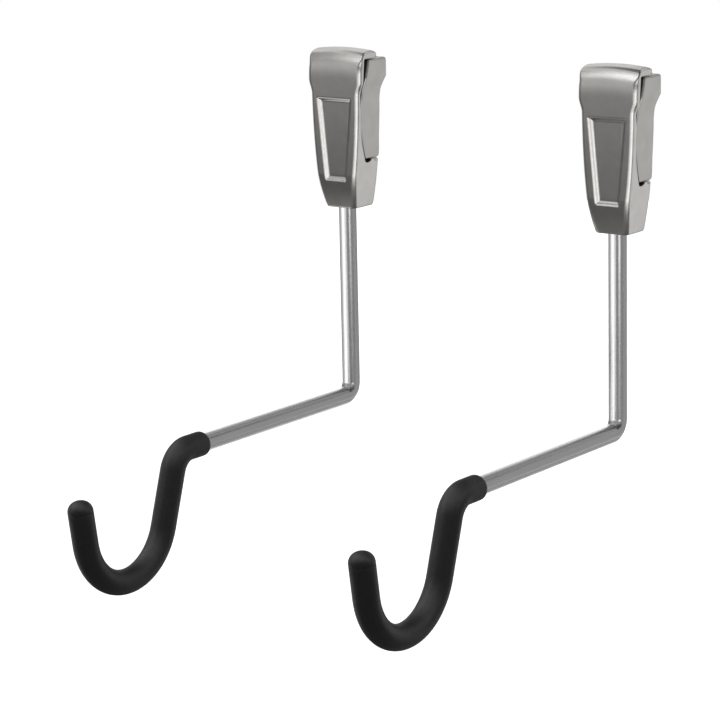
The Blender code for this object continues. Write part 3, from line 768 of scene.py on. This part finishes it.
def drawn_steel(name, light, dark, rough):
    """Bright drawn bar: faint lines along the rod."""
    tone_scale, scratch_scale, detail = 30, 60, 4.0
    tone_stretch, scratch_stretch = (1.0, 0.12, 1.0), (1.0, 0.1, 1.0)
    material, tree, shader = new_material(name)
    shader.inputs["Metallic"].default_value = 1.0
    lengthwise = coordinates(tree, "UV")
    tones = speckle(tree, lengthwise, tone_scale, 0, 1, detail, tone_stretch)
    tint(tree, tones, dark, light, shader)
    scratches = speckle(tree, lengthwise, scratch_scale, rough - ROUGH_LESS, rough + ROUGH_MORE,
                        detail, scratch_stretch)
    tree.links.new(scratches, shader.inputs["Roughness"])
    return material


def soft_black(name, light, dark, rough):
    """Matt black rubber with a fine grain; rough is a pair."""
    grain_scale, patch_scale = 1500, 700
    material, tree, shader = new_material(name)
    shader.inputs["Specular IOR Level"].default_value = 0.5
    place = coordinates(tree, "Object")
    grain = speckle(tree, place, grain_scale, 0, 1)
    tint(tree, grain, dark, light, shader)
    tree.links.new(speckle(tree, place, patch_scale, *rough), shader.inputs["Roughness"])
    relief(tree, grain, shader, strength=0.25, distance=0.0002)
    return material


def pale_floor(name, light, dark):
    """A matt, faintly clouded floor that glows enough to stay pale."""
    cloud_scale, rough = 8, 0.9
    material, tree, shader = new_material(name)
    shader.inputs["Roughness"].default_value = rough
    shader.inputs["Emission Strength"].default_value = FLOOR_GLOW
    shader.inputs["Emission Color"].default_value = (1, 1, 1, 1)
    clouds = speckle(tree, coordinates(tree, "Object"), cloud_scale, 0, 1)
    tint(tree, clouds, dark, light, shader)
    return material


# Pieces
def finished(mesh, material):
    """The mesh with its material on it."""
    mesh.materials.append(material)
    return mesh


def piece(side, name, mesh, body, replaced):
    """A visible piece in its place on one hook, instead of a CAD node."""
    obj = bpy.data.objects.new(f"{side}_{name}", mesh)
    bpy.context.scene.collection.objects.link(obj)
    obj.location = (SIDES[side] * HOOK_SPACING / 2 * MM, AXIS_Y * MM, FOOT_Z * MM)
    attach(obj, body)
    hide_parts(f"{side}_{replaced}")


# Each look: its light and dark colour, then its roughness
head_nickel = cast_metal("satin_nickel", (0.65, 0.64, 0.615), (0.60, 0.59, 0.57), 0.31)
lever_nickel = cast_metal("satin_nickel_lever", (0.53, 0.52, 0.50), (0.48, 0.475, 0.455), 0.34)
steel = drawn_steel("drawn_steel", (0.51, 0.51, 0.51), (0.465, 0.465, 0.47), 0.24)
zinc = cast_metal("zinc_plate", (0.55, 0.55, 0.56), (0.46, 0.46, 0.47), 0.3)
rubber = soft_black("soft_black", (0.010, 0.010, 0.0104), (0.005, 0.005, 0.0052), (0.42, 0.54))

head_mesh = finished(skin("head", head_field, HEAD_GRID), head_nickel)
lever_mesh = finished(skin("lever", lever_field, LEVER_GRID), lever_nickel)
rod_mesh = finished(sweep("rod", rod_profile()), steel)
sleeve_mesh = finished(sweep("sleeve", sleeve_profile(), closed=True), rubber)
cap_mesh = finished(sweep("cap", cap_profile()), rubber)

for side in SIDES:
    piece(side, "head_shape", head_mesh, "hooks", "head_body")
    piece(side, "lever_shape", lever_mesh, f"{side}_latch", "latch_lever")
    piece(side, "rod_shape", rod_mesh, "hooks", "rod")
    piece(side, "sleeve_shape", sleeve_mesh, "hooks", "grip_sleeve")
    piece(side, "cap_shape", cap_mesh, "hooks", "sleeve_end_cap")

# The small parts keep their CAD shape and get a plated look.
for obj in bpy.context.scene.objects:
    small = any(word in obj.name for word in ("lever_pin", "spring", "screw", "lock_pin", "washer"))
    if obj.type == "MESH" and small:
        obj.data.materials.clear()
        obj.data.materials.append(zinc)

# Studio
scene = bpy.context.scene
scene.view_settings.view_transform = "Standard"


def direction(azimuth, elevation):
    """Unit vector from the object; azimuth 0 is the front and 90 the right."""
    a, e = math.radians(azimuth), math.radians(elevation)
    return Vector((math.sin(a) * math.cos(e), -math.cos(a) * math.cos(e), math.sin(e)))


def make_floor():
    """A round floor below the hooks."""
    mesh = bpy.data.meshes.new("floor")
    turns = [2 * math.pi * i / FLOOR_SIDES for i in range(FLOOR_SIDES)]
    ring = [(FLOOR_RADIUS * math.cos(turn), FLOOR_RADIUS * math.sin(turn), 0) for turn in turns]
    mesh.from_pydata(ring, [], [tuple(range(FLOOR_SIDES))])
    mesh.materials.append(pale_floor("pale_floor", (0.93, 0.93, 0.93), (0.9, 0.9, 0.9)))
    obj = bpy.data.objects.new("floor", mesh)
    scene.collection.objects.link(obj)
    obj.location = FLOOR_PLACE
    obj.visible_glossy = False
    return obj


floor = make_floor()

# Softboxes for each group of pieces: name, azimuth, elevation, distance, (width, height) and
# radiance. Each group is lit on its own, because castings, rods and sleeves shine differently.
LIGHTS = {
    "lit_heads": [
        ("front_glow", -34, 16, 0.6, (0.6, 0.34), 0.34),
        ("brow_low", -36, 26, 2.0, (2.4, 1.5), 0.2),
        ("brow_high", -26, 47, 2.0, (1.0, 0.8), 1.55),
        ("brow_right", -26, 40, 2.0, (0.9, 0.8), 0.5),
        ("brow_top", -74, 54, 2.0, (0.8, 0.5), 0.8),
        ("top_strip", -122, 42, 2.2, (2.4, 1.2), 0.88),
        ("top_back", -152, 6, 2.2, (1.8, 1.5), 0.7),
        ("edge_soft", -8, -10, 2.2, (0.5, 1.6), 0.45),
        ("edge", 36, -10, 2.2, (2.9, 1.6), 1.22),
        ("panel", 50, -10, 2.2, (0.9, 1.6), 0.75),
        ("side", 128, -8, 2.2, (3.9, 1.8), 0.7),
        ("side_low", 146, -44, 2.2, (2.4, 1.2), 0.45),
        ("chin_glow", -36, -44, 2.0, (2.0, 0.9), 0.07),
        ("side_high", 140, 42, 2.2, (2.6, 1.6), 0.7),
        ("low_left", -75, -45, 0.9, (0.35, 0.35), 1.2),
        ("far_left", -108, -4, 2.2, (1.7, 1.8), 0.4),
    ],
    "lit_rods": [
        ("rod_left", -80, -12, 2.0, (1.5, 2.0), 0.75),
        ("rod_key", -34, -12, 2.0, (1.75, 2.0), 2.15),
        ("rod_fade", 2, -12, 2.0, (0.8, 2.0), 1.25),
        ("rod_base", 66, -12, 2.0, (4.6, 2.0), 0.34),
        ("rod_upper", 60, -4, 0.9, (0.32, 0.18), 2.6),
        ("rod_side", 144, 0, 2.2, (2.6, 2.2), 0.43),
        ("rod_low", 175, -38, 2.2, (2.2, 1.2), 0.43),
        ("rod_top", 182, 38, 2.2, (1.8, 1.3), 0.42),
        ("rod_over", 10, 38, 2.0, (6.0, 2.2), 0.42),
        ("rod_sky", 0, 88, 2.0, (2.0, 1.6), 0.5),
        ("rod_above", -95, 50, 2.0, (4.0, 1.8), 0.42),
        ("rod_rim", -148, -32, 2.0, (1.4, 0.8), 0.9),
        ("rod_back", -144, 4, 2.2, (1.8, 1.7), 1.3),
    ],
    "lit_sleeves": [
        ("sleeve_over", -70, 46, 2.0, (2.6, 1.6), 1.6),
        ("sleeve_top", 45, 54, 1.8, (2.4, 1.3), 1.25),
        ("sleeve_mid", 112, 24, 2.0, (1.4, 1.1), 1.2),
        ("sleeve_right", 158, -10, 2.0, (1.1, 1.3), 0.7),
        ("sleeve_low", 175, -40, 2.0, (2.0, 1.2), 0.2),
        ("sleeve_sky", 0, 86, 2.0, (1.6, 1.4), 0.9),
        ("sleeve_back", 170, 26, 2.0, (1.8, 0.9), 0.5),
        ("sleeve_left", -42, 18, 2.0, (1.7, 0.9), 0.8),
        ("sleeve_side", -90, -16, 2.0, (1.8, 2.2), 0.6),
        ("sleeve_rim", -144, -8, 2.0, (2.2, 1.8), 0.45),
    ],
}


def softbox(name, azimuth, elevation, distance, size, radiance, receivers):
    """A rectangular light that faces the object and lights only the receivers."""
    back = direction(azimuth, elevation)
    light = bpy.data.lights.new(name, "AREA")
    light.shape = "RECTANGLE"
    light.size, light.size_y = size
    light.energy = radiance * math.pi * size[0] * size[1]
    obj = bpy.data.objects.new(name, light)
    scene.collection.objects.link(obj)
    obj.location = LIGHT_AIM + back * distance
    obj.rotation_mode = "QUATERNION"
    obj.rotation_quaternion = back.to_track_quat("Z", "Y")
    obj.visible_camera = False
    obj.light_linking.receiver_collection = receivers


def light_group(name):
    """The group whose lights an object gets; the floor and the small parts go with the heads."""
    if "rod_shape" in name:
        return "lit_rods"
    if "sleeve_shape" in name or "cap_shape" in name:
        return "lit_sleeves"
    return "lit_heads"


groups = {name: bpy.data.collections.new(name) for name in LIGHTS}
for obj in scene.objects:
    if obj.type == "MESH":
        groups[light_group(obj.name)].objects.link(obj)
for group, boxes in LIGHTS.items():
    for box in boxes:
        softbox(*box, groups[group])


def background(nodes, strength):
    """The output of an even white background."""
    shader = nodes.new("ShaderNodeBackground")
    shader.inputs["Color"].default_value = (1, 1, 1, 1)
    shader.inputs["Strength"].default_value = strength
    return shader.outputs[0]


def make_world():
    """White to look at, and a faint even fill to everything else."""
    world = bpy.data.worlds.new("studio")
    world.use_nodes = True
    nodes, links = world.node_tree.nodes, world.node_tree.links
    nodes.clear()
    mix = nodes.new("ShaderNodeMixShader")
    seen_directly, fill, seen = mix.inputs
    links.new(nodes.new("ShaderNodeLightPath").outputs["Is Camera Ray"], seen_directly)
    links.new(background(nodes, FILL_STRENGTH), fill)
    links.new(background(nodes, 1.0), seen)
    links.new(mix.outputs[0], nodes.new("ShaderNodeOutputWorld").inputs["Surface"])
    return world


def make_camera():
    """One camera for the pair, fitted to both hooks of the photograph together."""
    azimuth = math.radians(CAM_AZIMUTH)
    back = direction(CAM_AZIMUTH, CAM_ELEVATION)
    right = Vector((math.cos(azimuth), math.sin(azimuth), 0))
    up = back.cross(right)
    across = math.cos(CAM_ROLL) * right + math.sin(CAM_ROLL) * up
    upward = math.cos(CAM_ROLL) * up - math.sin(CAM_ROLL) * right
    data = bpy.data.cameras.new("camera")
    data.lens = CAM_LENS
    data.sensor_width = CAM_SENSOR
    obj = bpy.data.objects.new("camera", data)
    scene.collection.objects.link(obj)
    turn = Matrix((across, upward, back)).transposed().to_4x4()
    obj.matrix_world = Matrix.Translation(CAM_PLACE) @ turn
    return obj


scene.world = make_world()
scene.camera = make_camera()
